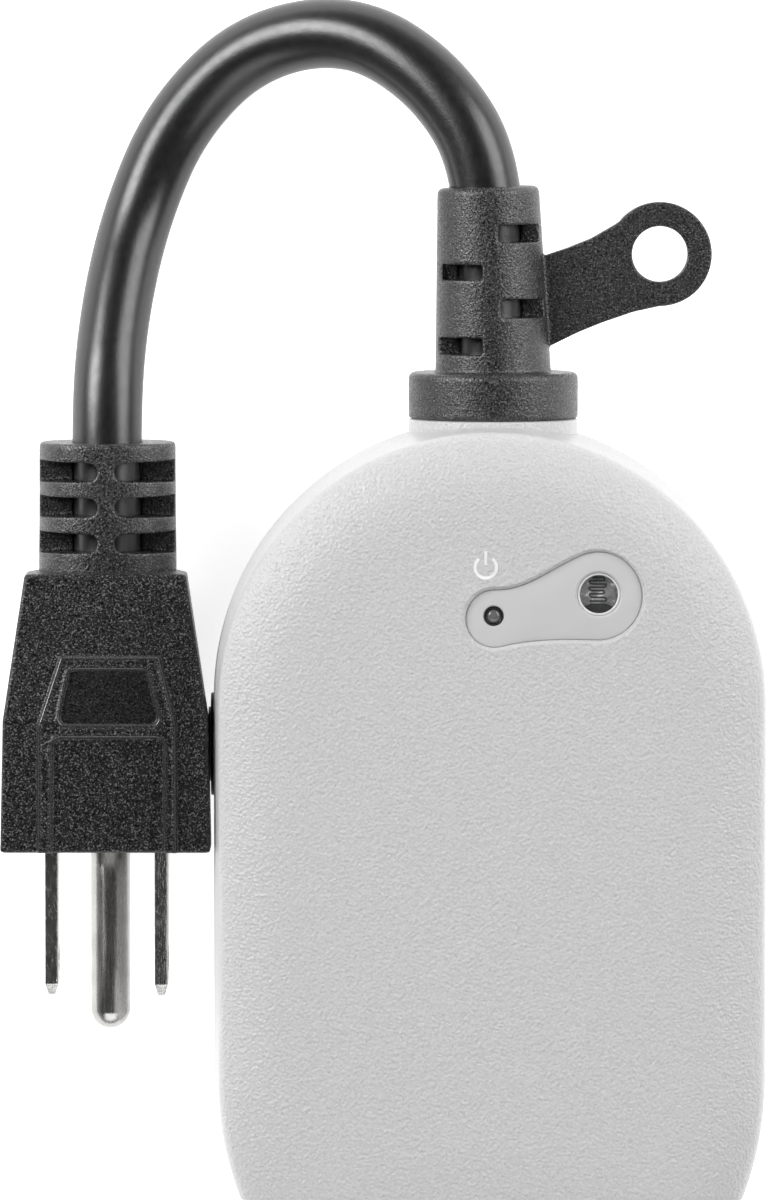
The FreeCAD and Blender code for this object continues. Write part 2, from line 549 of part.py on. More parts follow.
# ---- main board and what stands on it --------------------------------------------
BT = BOARD_Z + BOARD_T
board = box(-20.5, 20.5, -21.5, 30.0, BOARD_Z, BT)
for x, y in BOARD_POSTS:
    board = board.cut(cyl(1.35, (x, y, 0), (x, y, 20)))
keep("main_board", board)
keep("board_screws", [cyl(1.0, (x, y, 3.8), (x, y, BT + 0.05)).fuse(
    cyl(2.2, (x, y, BT), (x, y, BT + 1.5))).removeSplitter() for x, y in BOARD_POSTS])
keep("relay", soften(box(-14.6, 4.4, -16.0, -0.6, BT, BT + 15.3), 0.6,
                     lambda e: e.CenterOfMass.z > BT + 15.2))
keep("transformer", fuse(box(6.6, 20.0, -13.0, -1.0, BT, BT + 3.0),
                         box(8.0, 18.6, -13.0, -1.0, BT + 3.0, BT + 9.0),
                         box(6.6, 20.0, -13.0, -1.0, BT + 9.0, BT + 12.0)))
keep("capacitors", [soften(cyl(4.0, (x, 5.0, BT), (x, 5.0, BT + 14.0)), 0.5,
                           lambda e: e.CenterOfMass.z > BT + 13.9) for x in (7.5, 16.2)])
keep("varistor", cyl(5.0, (-8.5, 2.4, BT + 5.4), (-8.5, 6.4, BT + 5.4)))
keep("fuse_link", cyl(2.5, (-13.5, 13.0, BT + 2.5), (-3.5, 13.0, BT + 2.5)))
keep("radio_board", box(-1.5, 14.5, 11.0, 29.0, BT, BT + 0.9))
keep("radio_shield", soften(box(0.3, 12.7, 12.2, 23.4, BT + 0.9, BT + 3.1), 0.4,
                            lambda e: e.CenterOfMass.z > BT + 3.0))
keep("pin_header", box(-4.6, -2.2, 18.6, 26.4, BT, SB_Z))

# ---- wires -----------------------------------------------------------------------
keep("wire_line", tube([(COLLAR_X - 1.9, 38.0, 20.4), (-3.5, 34.0, 20.6), (-9.5, 30.5, 18.5),
                        (-12.6, 24.0, 14.0), (-13.0, 21.0, BT)], 1.2))
keep("wire_neutral", tube([(COLLAR_X + 1.9, 38.0, 20.4), (4.5, 34.0, 20.6),
                           (12.0, 31.3, 18.0), (17.2, 22.0, 14.5), (17.8, 17.5, BT)], 1.2))
keep("wire_ground", tube([(COLLAR_X, 38.0, 17.2), (0.8, 33.6, 19.5), (0.9, 27.0, 25.4),
                          (0.4, 16.0, 27.6), (0.6, 2.0, 27.4), (0.9, -12.0, 27.0),
                          (1.2, -19.0, 22.0), (1.4, -22.4, 15.0), (1.5, -26.2, 12.0)], 1.2))
keep("wire_switched", tube([(-10.0, -18.6, BT), (-9.9, -19.4, 14.0), (-8.2, -20.6, 18.6),
                            (-6.9, -24.4, 22.6)], 1.1))
keep("wire_return", tube([(14.5, -16.6, BT), (14.2, -17.6, 16.0), (10.5, -19.0, 24.0),
                          (5.6, -22.0, 27.6), (2.8, -26.2, 29.2)], 1.1))

# each wire's ends stop at what it lands on
for wire in ("wire_line", "wire_neutral", "wire_ground", "wire_switched", "wire_return"):
    w = NODES[wire]
    for other in ("main_board", "board_screws", "cord_root", "line_contact_bar",
                  "neutral_contact_bar", "ground_contact_bar"):
        w = w.cut(NODES[other])
    keep(wire, max(w.Solids, key=lambda q: q.Volume))

# ---- write -----------------------------------------------------------------------
for name, shape in sorted(NODES.items()):
    solids = shape.Solids
    ok = shape.isValid() and len(solids) >= 1
    b = shape.BoundBox
    print("%-22s %s solids %d vol %.1f  x %.1f..%.1f y %.1f..%.1f z %.1f..%.1f" %
          (name, "ok" if ok else "BAD", len(solids), shape.Volume, b.XMin, b.XMax,
           b.YMin, b.YMax, b.ZMin, b.ZMax))
    shape.exportStep(os.path.join("parts", name + ".step"))
print(len(NODES), "nodes")
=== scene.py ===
import bpy
import bmesh
import math
from mathutils import Matrix, Vector


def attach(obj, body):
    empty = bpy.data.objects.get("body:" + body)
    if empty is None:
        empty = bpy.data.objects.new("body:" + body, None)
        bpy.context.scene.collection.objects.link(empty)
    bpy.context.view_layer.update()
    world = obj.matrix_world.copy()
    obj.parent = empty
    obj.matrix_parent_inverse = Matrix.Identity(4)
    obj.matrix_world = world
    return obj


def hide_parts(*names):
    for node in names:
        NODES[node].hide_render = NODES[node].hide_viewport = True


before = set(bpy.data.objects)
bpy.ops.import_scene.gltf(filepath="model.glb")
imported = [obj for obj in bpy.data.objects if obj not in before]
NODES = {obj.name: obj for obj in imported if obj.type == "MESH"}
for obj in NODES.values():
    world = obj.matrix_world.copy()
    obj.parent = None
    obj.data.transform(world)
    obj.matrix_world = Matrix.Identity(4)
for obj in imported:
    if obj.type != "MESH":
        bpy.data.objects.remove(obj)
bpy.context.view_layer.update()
MM = 0.001

# ---------------------------------------------------------------- dimensions (mm)
HALF_W, ARCH_Y, FLARE_Y, FLARE_R, END_Y, CORNER_R = 32.0, 13.0, -30.0, 39.0, -44.0, 1.0
PART_Z, WALL, END_BOW = 19.0, 2.4, 0.4
NECK_X = 0.3
LAMP, CELL = (0.15, 23.45), (12.09, 25.93)
BEZEL_FLOOR, BEZEL_TOP = 36.4, 37.5
CORD_ROUTE = [(-0.23, 64.2, 19.0), (-0.08, 73.91, 19.4), (-6.07, 83.99, 16.9),
              (-15.96, 90.19, 12.2), (-27.74, 88.09, 7.0), (-36.38, 79.55, 4.1),
              (-41.10, 68.70, 4.1), (-43.62, 57.71, 8.9), (-44.60, 46.29, 13.4),
              (-44.40, 36.8, 13.5)]


# ---------------------------------------------------------------- material helpers
class Nodes:
    """A short way to write a node tree."""

    def __init__(self, name):
        self.m = bpy.data.materials.new(name)
        self.m.use_nodes = True
        self.nt = self.m.node_tree
        self.bsdf = self.nt.nodes["Principled BSDF"]
        tc = self.nt.nodes.new("ShaderNodeTexCoord")
        self.obj = tc.outputs["Object"]

    def put(self, **kw):
        for k, v in kw.items():
            self.bsdf.inputs[k.replace("_", " ")].default_value = v

    def link(self, a, b):
        self.nt.links.new(a, b)

    def noise(self, scale, detail=2.0, rough=0.5, vec=None):
        n = self.nt.nodes.new("ShaderNodeTexNoise")
        n.inputs["Scale"].default_value = scale
        n.inputs["Detail"].default_value = detail
        n.inputs["Roughness"].default_value = rough
        self.link(vec or self.obj, n.inputs["Vector"])
        return n.outputs["Fac"]

    def voronoi(self, scale, vec=None, smooth=None):
        n = self.nt.nodes.new("ShaderNodeTexVoronoi")
        n.inputs["Scale"].default_value = scale
        if smooth is not None:
            n.feature = "SMOOTH_F1"
            n.inputs["Smoothness"].default_value = smooth
        self.link(vec or self.obj, n.inputs["Vector"])
        return n.outputs["Distance"]

    def math(self, op, a, b=None, c=None, clamp=False):
        n = self.nt.nodes.new("ShaderNodeMath")
        n.operation = op
        n.use_clamp = clamp
        for i, v in enumerate((a, b, c)):
            if v is None:
                continue
            if isinstance(v, (int, float)):
                n.inputs[i].default_value = v
            else:
                self.link(v, n.inputs[i])
        return n.outputs[0]

    def stretch(self, sx, sy, sz):
        n = self.nt.nodes.new("ShaderNodeMapping")
        n.inputs["Scale"].default_value = (sx, sy, sz)
        self.link(self.obj, n.inputs["Vector"])
        return n.outputs["Vector"]

    def ramp(self, fac, stops):
        n = self.nt.nodes.new("ShaderNodeValToRGB")
        cr = n.color_ramp
        while len(cr.elements) < len(stops):
            cr.elements.new(0.5)
        for e, (p, c) in zip(cr.elements, stops):
            e.position = p
            e.color = (*c, 1) if len(c) == 3 else c
        self.link(fac, n.inputs["Fac"])
        return n.outputs["Color"]

    def grey(self, fac, lo, hi, p0=0.3, p1=0.7):
        return self.ramp(fac, [(p0, (lo,) * 3), (p1, (hi,) * 3)])

    def facing_up(self, lo=0.35, hi=0.8):
        g = self.nt.nodes.new("ShaderNodeNewGeometry")
        s = self.nt.nodes.new("ShaderNodeSeparateXYZ")
        self.link(g.outputs["Normal"], s.inputs[0])
        m = self.nt.nodes.new("ShaderNodeMapRange")
        m.inputs["From Min"].default_value = lo
        m.inputs["From Max"].default_value = hi
        self.link(self.math("ABSOLUTE", s.outputs["Z"]), m.inputs["Value"])
        return m.outputs[0]

    def bump(self, height, distance, strength=1.0, after=None):
        n = self.nt.nodes.new("ShaderNodeBump")
        n.inputs["Distance"].default_value = distance
        if isinstance(strength, (int, float)):
            n.inputs["Strength"].default_value = strength
        else:
            self.link(strength, n.inputs["Strength"])
        self.link(height, n.inputs["Height"])
        if after is not None:
            self.link(after, n.inputs["Normal"])
        return n.outputs["Normal"]

    def finish(self, color=None, rough=None, normal=None):
        if color is not None:
            self.link(color, self.bsdf.inputs["Base Color"])
        if rough is not None:
            self.link(rough, self.bsdf.inputs["Roughness"])
        if normal is not None:
            self.link(normal, self.bsdf.inputs["Normal"])
        return self.m


def shell_material():
    n = Nodes("shell_pebbled")
    grain = n.math("ADD", n.math("MULTIPLY", n.noise(2900, 2.0, 0.55), 0.75),
                   n.math("MULTIPLY", n.voronoi(2500, smooth=0.35), 0.5))
    mask = n.math("ADD", n.math("MULTIPLY", n.facing_up(0.2, 0.75), 0.75), 0.12)
    b = n.bump(grain, 0.00022, mask)
    base = n.grey(n.noise(4300, 1.5, 0.5), 0.535, 0.62, 0.32, 0.68)
    rough = n.grey(n.noise(2300, 2.0), 0.28, 0.42)
    n.put(Specular_IOR_Level=0.55)
    return n.finish(base, rough, b)


def smooth_grey(name, lo, hi, rlo=0.36, rhi=0.46, spec=0.5):
    n = Nodes(name)
    b = n.bump(n.noise(5200, 2.0), 0.00001, 0.5)
    n.put(Specular_IOR_Level=spec)
    return n.finish(n.grey(n.noise(160, 4.0), lo, hi), n.grey(n.noise(900, 3.0), rlo, rhi), b)


def moulded_black(name, lo, hi, grain=6200, depth=0.00009, rlo=0.26, rhi=0.50, spec=0.4, painted_glints=0.0):
    """Soft black moulding with a spark-eroded surface; the pale flecks in its base colour are painted
    glints.
    """
    n = Nodes(name)
    g = n.math("ADD", n.math("MULTIPLY", n.noise(grain, 2.0, 0.6), 0.85),
               n.math("MULTIPLY", n.voronoi(grain * 0.62, smooth=0.2), 0.40))
    b = n.bump(g, depth, 0.95)
    n.put(Specular_IOR_Level=spec)
    # the top stop paints pale flecks into the colour: painted glints of the grained surface
    base = n.ramp(n.noise(grain * 1.15, 1.0, 0.4),
                  [(0.46, (lo,) * 3), (0.57, (hi,) * 3), (0.68, (hi + painted_glints,) * 3)])
    return n.finish(base, n.grey(n.noise(grain * 0.8, 2.0), rlo, rhi, 0.4, 0.6), b)


def cord_material():
    n = Nodes("cord_jacket_black")
    fine = n.noise(4200, 2.0, 0.6)
    b = n.bump(fine, 0.000022, 0.6)
    b = n.bump(n.noise(420, 2.0), 0.00005, 0.4, after=b)
    n.put(Specular_IOR_Level=0.8)
    return n.finish(n.grey(n.noise(900, 4.0), 0.006, 0.010), n.grey(n.noise(1400, 3.0), 0.28, 0.35), b)


def metal(name, rgb, rlo, rhi, sx=1, sy=1, sz=1, scale=5200, depth=0.000006):
    n = Nodes(name)
    v = n.stretch(sx, sy, sz)
    f = n.noise(scale, 3.0, 0.6, vec=v)
    dark = tuple(c * 0.86 for c in rgb)
    n.put(Metallic=1.0)
    return n.finish(n.ramp(n.noise(300, 4.0), [(0.35, dark), (0.62, rgb)]),
                    n.grey(f, rlo, rhi), n.bump(f, depth, 0.6))


def plain(name, rgb, rlo=0.35, rhi=0.5, bump=0.00001, scale=2400, spec=0.5):
    n = Nodes(name)
    f = n.noise(scale, 3.0)
    dark = tuple(c * 0.85 for c in rgb)
    n.put(Specular_IOR_Level=spec)
    return n.finish(n.ramp(n.noise(500, 3.0), [(0.35, dark), (0.65, rgb)]), n.grey(f, rlo, rhi),
                    n.bump(f, bump, 0.6))


def patched(name, lo, mid, hi, rlo, rhi):
    """A fired coating with pale patches."""
    n = Nodes(name)
    n.put(Specular_IOR_Level=0.8)
    base = n.ramp(n.noise(950, 3.0, 0.6), [(0.36, (lo,) * 3), (0.50, (mid,) * 3),
                                           (0.58, (mid,) * 3), (0.66, (hi,) * 3)])
    return n.finish(base, n.grey(n.noise(1400, 2.0), rlo, rhi), n.bump(n.noise(900, 3.0), 0.00003, 0.6))


def clear(name, rgb, alpha, rough=0.04):
    n = Nodes(name)
    n.put(Alpha=alpha, Specular_IOR_Level=0.7)
    n.m.blend_method = "BLEND"
    return n.finish(n.ramp(n.noise(300, 2.0), [(0.4, tuple(c * 0.95 for c in rgb)), (0.6, rgb)]),
                    n.grey(n.noise(500, 2.0), rough, rough + 0.03), None)


M_SHELL = shell_material()
M_BEZEL = smooth_grey("bezel_smooth", 0.545, 0.575)
M_LID = smooth_grey("lid_satin", 0.50, 0.54, 0.42, 0.52)
# pale insert colour: partly the part's own colour, partly a painted highlight line at the plug face
M_INSERT = smooth_grey("insert_pale", 0.60, 0.66)
# each black moulding below gets pale flecks painted into its base colour as glints
M_BOOT = moulded_black("boot_moulded", 0.003, 0.010, grain=5000, depth=0.00010, rlo=0.22, rhi=0.46,
                       spec=0.85, painted_glints=0.12)
M_PLUG = moulded_black("plug_moulded", 0.002, 0.005, grain=4600, depth=0.00010, rlo=0.22, rhi=0.44,
                       spec=0.5, painted_glints=0.15)
M_PLUG_FIELD = moulded_black("plug_field", 0.002, 0.005, grain=5400, depth=0.00005, painted_glints=0.05)
# lighter base colour on the frame's bead slopes: painted highlight lines, on a glossier finish
M_PLUG_EDGE_HIGHLIGHT = moulded_black("plug_edge_painted_highlight", 0.018, 0.036, grain=5200, depth=0.00001, rlo=0.16, rhi=0.26,
                            spec=1.0, painted_glints=0.05)
M_CORD = cord_material()
M_SEAL = moulded_black("seal_rubber", 0.012, 0.022, grain=5200, depth=0.00003, rlo=0.45, rhi=0.6)
M_OUTLET = plain("outlet_face_black", (0.028, 0.028, 0.03), 0.32, 0.42, 0.00002)
M_BUTTON = plain("button_satin", (0.022, 0.022, 0.024), 0.34, 0.44, 0.00002)
M_MARK = plain("mark_pale", (0.62, 0.62, 0.61), 0.4, 0.5)
M_PRINT = plain("print_white", (0.93, 0.93, 0.93), 0.45, 0.55)
M_NICKEL = metal("nickel", (0.66, 0.655, 0.64), 0.18, 0.34, 1, 0.25, 1, depth=0.00004)
M_SHEAR = metal("nickel_sheared", (0.64, 0.635, 0.62), 0.14, 0.30, 1, 0.22, 1, scale=3200, depth=0.00024)
M_PIN = metal("nickel_pin", (0.53, 0.525, 0.51), 0.22, 0.32, 1, 0.06, 1)
M_BRASS = metal("brass_strip", (0.80, 0.60, 0.28), 0.20, 0.34)
M_STEEL = metal("zinc_steel", (0.56, 0.56, 0.57), 0.28, 0.44)
M_CAN = metal("can_metal", (0.70, 0.70, 0.72), 0.22, 0.34)
M_CORE = metal("core_laminate", (0.30, 0.30, 0.32), 0.40, 0.55, 1, 1, 6)
M_BOARD = plain("solder_mask", (0.03, 0.20, 0.07), 0.25, 0.4, 0.00002)
M_CASE = plain("moulded_case", (0.025, 0.025, 0.03), 0.4, 0.5)
M_CREAM = plain("carrier_moulding", (0.72, 0.68, 0.58), 0.4, 0.55)
M_DISC = plain("dipped_blue", (0.08, 0.20, 0.55), 0.15, 0.25)
M_WHITE_W = plain("wire_white", (0.78, 0.78, 0.76), 0.35, 0.45)
M_GREEN_W = plain("wire_green", (0.04, 0.32, 0.10), 0.35, 0.45)
M_BLACK_W = plain("wire_black", (0.02, 0.02, 0.02), 0.35, 0.45)
M_FUSE = clear("fuse_glass", (0.85, 0.90, 0.90), 0.35)
M_WINDOW = clear("cell_window_clear", (0.30, 0.31, 0.31), 0.05, 0.02)
M_LAMP = plain("lamp_smoked", (0.018, 0.018, 0.019), 0.08, 0.14, 0.000002, spec=0.8)
M_LAMP_TIP = plain("lamp_tip", (0.15, 0.15, 0.152), 0.10, 0.20, 0.00003, 1500, spec=0.8)
# pale colour for the cell window's rim: a painted highlight
M_RIM_HIGHLIGHT = plain("window_rim_painted_highlight", (0.82, 0.82, 0.81), 0.25, 0.35)
M_CERAMIC = patched("cell_disc", 0.18, 0.34, 0.85, 0.16, 0.28)
M_TRACK = plain("cell_track", (0.018, 0.018, 0.018), 0.3, 0.4)
M_SILVER = plain("cell_electrode", (0.30, 0.30, 0.29), 0.2, 0.3)
M_LED = clear("led_epoxy", (0.85, 0.87, 0.86), 0.5)


def paint(node, mat):
    o = NODES[node]
    o.data.materials.clear()
    o.data.materials.append(mat)


# ---------------------------------------------------------------- mesh helpers
def from_rings(name, rings, caps=(True, True)):
    """A closed mesh through rings of points that all have the same number."""
    n = len(rings[0])
    verts = [p for r in rings for p in r]
    faces = []
    for k in range(len(rings) - 1):
        a, b = k * n, (k + 1) * n
        for i in range(n):
            j = (i + 1) % n
            faces.append((a + i, a + j, b + j, b + i))
    if caps[0]:
        faces.append(tuple(range(n - 1, -1, -1)))
    if caps[1]:
        a = (len(rings) - 1) * n
        faces.append(tuple(a + i for i in range(n)))
    me = bpy.data.meshes.new(name)
    me.from_pydata(verts, [], faces)
    bm = bmesh.new()
    bm.from_mesh(me)
    bmesh.ops.recalc_face_normals(bm, faces=bm.faces)
    bm.to_mesh(me)
    bm.free()
    o = bpy.data.objects.new(name, me)
    bpy.context.scene.collection.objects.link(o)
    return o


AXES = {"X": lambda u, v, t: (t, u, v), "Y": lambda u, v, t: (u, t, v),
        "Z": lambda u, v, t: (u, v, t)}


def lathe(name, profile, axis, centre, seg=64):
    """profile is (radius, position along the axis); both ends are capped."""
    f = AXES[axis]
    rings = []
    for r, t in profile:
        rings.append([f(centre[0] + r * math.cos(2 * math.pi * i / seg),
                        centre[1] + r * math.sin(2 * math.pi * i / seg), t) for i in range(seg)])
    return from_rings(name, rings)


def rounded_rect(x0, x1, y0, y1, r, n=8):
    pts = []
    for cx, cy, a0 in ((x1 - r, y1 - r, 0), (x0 + r, y1 - r, 90), (x0 + r, y0 + r, 180),
                       (x1 - r, y0 + r, 270)):
        for i in range(n + 1):
            a = math.radians(a0 + 90.0 * i / n)
            pts.append((cx + r * math.cos(a), cy + r * math.sin(a)))
    return pts


def stadium(cx, cy, length, height, n=20):
    r = height / 2
    h = length / 2 - r
    pts = []
    for s, a0 in ((1, -90), (-1, 90)):
        for i in range(n + 1):
            a = math.radians(a0 + 180.0 * i / n)
            pts.append((cx + s * h + r * math.cos(a), cy + r * math.sin(a)))
    return pts


def extrude(name, axis, levels):
    """levels is a list of (2-D polygon, position); the polygons have equal counts."""
    f = AXES[axis]
    return from_rings(name, [[f(u, v, t) for u, v in poly] for poly, t in levels])


def applied(o):
    dg = bpy.context.evaluated_depsgraph_get()
    me = bpy.data.meshes.new_from_object(o.evaluated_get(dg))
    o.modifiers.clear()
    old = o.data
    o.data = me
    bpy.data.meshes.remove(old)
    return o


def boolean(o, op, *others):
    for c in others:
        m = o.modifiers.new("b", "BOOLEAN")
        m.operation = op
        m.solver = "EXACT"
        m.object = c
        applied(o)
        me = c.data
        bpy.data.objects.remove(c)
        bpy.data.meshes.remove(me)
    return o


def tidy(o, angle=32, dist=0.002):
    """Weld, drop slivers and shade smooth up to an angle."""
    bm = bmesh.new()
    bm.from_mesh(o.data)
    bmesh.ops.remove_doubles(bm, verts=bm.verts, dist=dist)
    bmesh.ops.dissolve_degenerate(bm, edges=bm.edges, dist=dist * 0.5)
    bmesh.ops.recalc_face_normals(bm, faces=bm.faces)
    bm.to_mesh(o.data)
    bm.free()
    for p in o.data.polygons:
        p.use_smooth = True
    o.data.set_sharp_from_angle(angle=math.radians(angle))
    return o


def settle(o, body, mats, *nodes):
    """Millimetres to metres, materials, body and the CAD nodes that it stands for."""
    o.data.transform(Matrix.Scale(MM, 4))
    o.data.materials.clear()
    for m in (mats if isinstance(mats, (list, tuple)) else [mats]):
        o.data.materials.append(m)
    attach(o, body)
    if nodes:
        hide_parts(*nodes)
    return o


def resurface(o, voxel, rounds):
    """One even skin over a mesh, with its edges softened."""
    r = o.modifiers.new("r", "REMESH")
    r.mode = "VOXEL"
    r.voxel_size = voxel
    r.use_smooth_shade = True
    applied(o)
    s = o.modifiers.new("s", "SMOOTH")
    s.factor, s.iterations = 0.5, rounds
    applied(o)
    for p in o.data.polygons:
        p.use_smooth = True
    return o


def refine(node, voxel, rounds, weight=None, more=0):
    """A CAD node's shape with its edges rounded: a fine regular mesh, then smoothed.
    weight(co) says how much of the second smoothing a point takes."""
    me = NODES[node].data.copy()
    me.transform(Matrix.Scale(1000, 4))
    o = bpy.data.objects.new(node + "_skin", me)
    bpy.context.scene.collection.objects.link(o)
    me.materials.clear()
    bm = bmesh.new()
    bm.from_mesh(me)
    bmesh.ops.remove_doubles(bm, verts=bm.verts, dist=0.0008)
    bm.to_mesh(me)
    bm.free()
    r = o.modifiers.new("r", "REMESH")
    r.mode = "VOXEL"
    r.voxel_size = voxel
    r.adaptivity = 0.0
    r.use_smooth_shade = True
    applied(o)
    if weight is not None:
        g = o.vertex_groups.new(name="soft")
        for v in o.data.vertices:
            w = weight(v.co)
            if w > 0:
                g.add([v.index], w, "REPLACE")
        s = o.modifiers.new("s", "SMOOTH")
        s.factor, s.iterations, s.vertex_group = 0.5, more, "soft"
        applied(o)
        o.vertex_groups.clear()
    s = o.modifiers.new("s", "SMOOTH")
    s.factor, s.iterations = 0.5, rounds
    applied(o)
    for p in o.data.polygons:
        p.use_smooth = True
    return o


# ---------------------------------------------------------------- housing shells
def outline(o, oe=None):
    w, tr, end = HALF_W - o, FLARE_R - o, END_Y + (o if oe is None else oe)
    tc, rc = HALF_W - FLARE_R, CORNER_R
    cy = end + rc
    cx = tc + math.sqrt((tr - rc) ** 2 - (cy - FLARE_Y) ** 2)
    d = math.hypot(cx - tc, cy - FLARE_Y)
    tx, ty = tc + tr * (cx - tc) / d, FLARE_Y + tr * (cy - FLARE_Y) / d
    ta = math.atan2(ty - FLARE_Y, tx - tc)          # negative
    left = []
    n = 144
    pts = [(w * math.cos(math.pi * i / n), ARCH_Y + w * math.sin(math.pi * i / n))
           for i in range(n)]
    for i in range(18):
        left.append((-w, ARCH_Y + (FLARE_Y - ARCH_Y) * i / 18))
    for i in range(12):
        a = ta * i / 12
        left.append((-(tc + tr * math.cos(a)), FLARE_Y + tr * math.sin(a)))
    for i in range(6):
        a = ta + (-math.pi / 2 - ta) * i / 6
        left.append((-(cx + rc * math.cos(a)), cy + rc * math.sin(a)))
    bottom = [(-cx + 2 * cx * i / 28, end - END_BOW * (1 - (2.0 * i / 28 - 1) ** 2))
              for i in range(28)]
    right = [(-x, y) for x, y in left[::-1]]
    # the mirrored run starts at the corner's foot
    right = [(cx, end)] + right[:-1]
    return pts + left + bottom + right


def curve_through(ctrl, sub=6):
    """A smooth line through the control points (Catmull-Rom)."""
    out = []
    p = [ctrl[0]] + list(ctrl) + [ctrl[-1]]
    for i in range(1, len(p) - 2):
        for k in range(sub):
            t = k / sub
            out.append(tuple(0.5 * (2 * p[i][j] + (p[i + 1][j] - p[i - 1][j]) * t
                                    + (2 * p[i - 1][j] - 5 * p[i][j] + 4 * p[i + 1][j] - p[i + 2][j]) * t * t
                                    + (3 * p[i][j] - p[i - 1][j] - 3 * p[i + 1][j] + p[i + 2][j]) * t ** 3)
                             for j in range(2)))
    out.append(tuple(ctrl[-1]))
    return out


FRONT_EDGE = curve_through([(0.74, 33.4), (0.84, 34.35), (1.2, 35.1), (1.85, 35.72),
                            (3.0, 36.42), (4.4, 37.02), (6.0, 37.5), (8.0, 37.82),
                            (10.0, 37.96), (11.5, 38.0)], 5)
FRONT_PROFILE = [(0.22, 19.0), (0.03, 19.2), (0.02, 19.6), (0.25, 24.0), (0.5, 28.8)] + FRONT_EDGE
REAR_PROFILE = [(0.22, 19.0), (0.03, 18.8), (0.02, 18.4), (0.25, 14.0), (0.5, 9.0), (0.72, 4.6),
                (0.83, 2.4), (0.92, 1.7), (1.08, 1.1), (1.34, 0.62), (1.7, 0.27), (2.15, 0.06),
                (2.7, 0.0)]


def lower_end(o, z):
    """The front stays flat nearly to the lower end, where it turns down in a small round."""
    pts = [(0.0, 0.0), (0.5, 0.03), (0.84, 0.06), (1.2, 0.09), (1.85, 0.12), (3.0, 0.17),
           (4.4, 0.26), (6.0, 0.40), (8.0, 0.60), (10.0, 0.83), (11.5, 1.02)]
    for (a, u), (b, v) in zip(pts, pts[1:]):
        if a <= o <= b:
            return u + (v - u) * (o - a) / (b - a)
    return 1.02


def ring_at(o, z):
    return [(x, y, z) for x, y in outline(o)]


def front_ring(o, z):
    return [(x, y, z) for x, y in outline(o, lower_end(o, z))]


def edge_distance(x, y):
    if y > ARCH_Y:
        return HALF_W - math.hypot(x, y - ARCH_Y)
    side = HALF_W - abs(x)
    if y < FLARE_Y:
        side = FLARE_R - math.hypot(abs(x) - (HALF_W - FLARE_R), y - FLARE_Y)
    return min(side, y - END_Y)


def front_z(x, y):
    d = edge_distance(x, y)
    prof = FRONT_PROFILE[4:]
    if d >= prof[-1][0]:
        return 38.0
    for (a, za), (b, zb) in zip(prof, prof[1:]):
        if a <= d <= b:
            return za + (zb - za) * (d - a) / max(b - a, 1e-6)
    return prof[0][1]


def half_neck(name, sign):
    """Half of the round neck, on one side of the parting plane."""
    rings = []
    for r, y in ((9.8, 37.8), (9.8, 44.75), (9.7, 45.0), (9.5, 45.1)):
        ring = []
        for i in range(49):
            a = math.pi * i / 48
            ring.append((NECK_X + r * math.cos(a), y, PART_Z + sign * (r * math.sin(a))))
        rings.append(ring)
    return from_rings(name, rings)


def neck_bore():
    return lathe("bore", [(6.6, 36.0), (6.6, 40.2), (8.1, 40.21), (8.1, 42.7), (6.6, 42.71),
                          (6.6, 46.5)], "Y", (NECK_X, PART_Z), 72)


def mouth_cut():
    lv = []
    for g, y in ((0.0, -39.5), (0.0, -42.9), (0.12, -43.3), (0.5, -44.2), (0.5, -47.0)):
        lv.append(([(u, v) for u, v in rounded_rect(-26.2 - g, 26.2 + g, 2.8 - g, 32.6 + g,
                                                    1.4 + g)], y))
    return extrude("mouth", "Y", lv)


LOBE_A, LOBE_AR = (0.25, 23.18), 3.20
LOBE_B, LOBE_BR = (11.99, 25.75), 4.94


def peanut(grow, n=150):
    """The bezel's outline: two round lobes joined by a waist that curves in."""
    (ax, ay), (bx, by) = LOBE_A, LOBE_B
    ra, rb = LOBE_AR + grow, LOBE_BR + grow

    def on(cx, cy, r, deg):
        return Vector((cx + r * math.cos(math.radians(deg)), cy + r * math.sin(math.radians(deg))))

    def blend(p, tp, q, tq, k, m):
        """Cubic from p to q with those end directions."""
        d = (q - p).length * k
        c1, c2 = p + tp * d, q - tq * d
        return [((1 - t) ** 3 * p + 3 * (1 - t) ** 2 * t * c1 + 3 * (1 - t) * t * t * c2
                 + t ** 3 * q) for t in [i / m for i in range(m)]]

    def tangent(deg, s):
        a = math.radians(deg)
        return Vector((-math.sin(a), math.cos(a))) * s
    pts = []
    # left lobe, anticlockwise from its upper right to its lower right
    for i in range(48):
        pts.append(on(ax, ay, ra, 88 + (284 - 88) * i / 48))
    pts += blend(on(ax, ay, ra, 284), tangent(284, 1), on(bx, by, rb, 268), tangent(268, 1), 0.33, 26)
    for i in range(64):
        pts.append(on(bx, by, rb, 268 + (360 + 112 - 268) * i / 64))
    pts += blend(on(bx, by, rb, 112), tangent(112, 1), on(ax, ay, ra, 88), tangent(88, 1), 0.33, 26)
    return [(p.x, p.y) for p in pts]


def bezel_cut():
    return extrude("recess", "Z", [(peanut(0.10), BEZEL_FLOOR), (peanut(0.10), 37.46),
                                   (peanut(0.17), 37.66), (peanut(0.31), 37.85),
                                   (peanut(0.50), 38.0), (peanut(0.76), 38.20),
                                   (peanut(0.76), 40.0)])


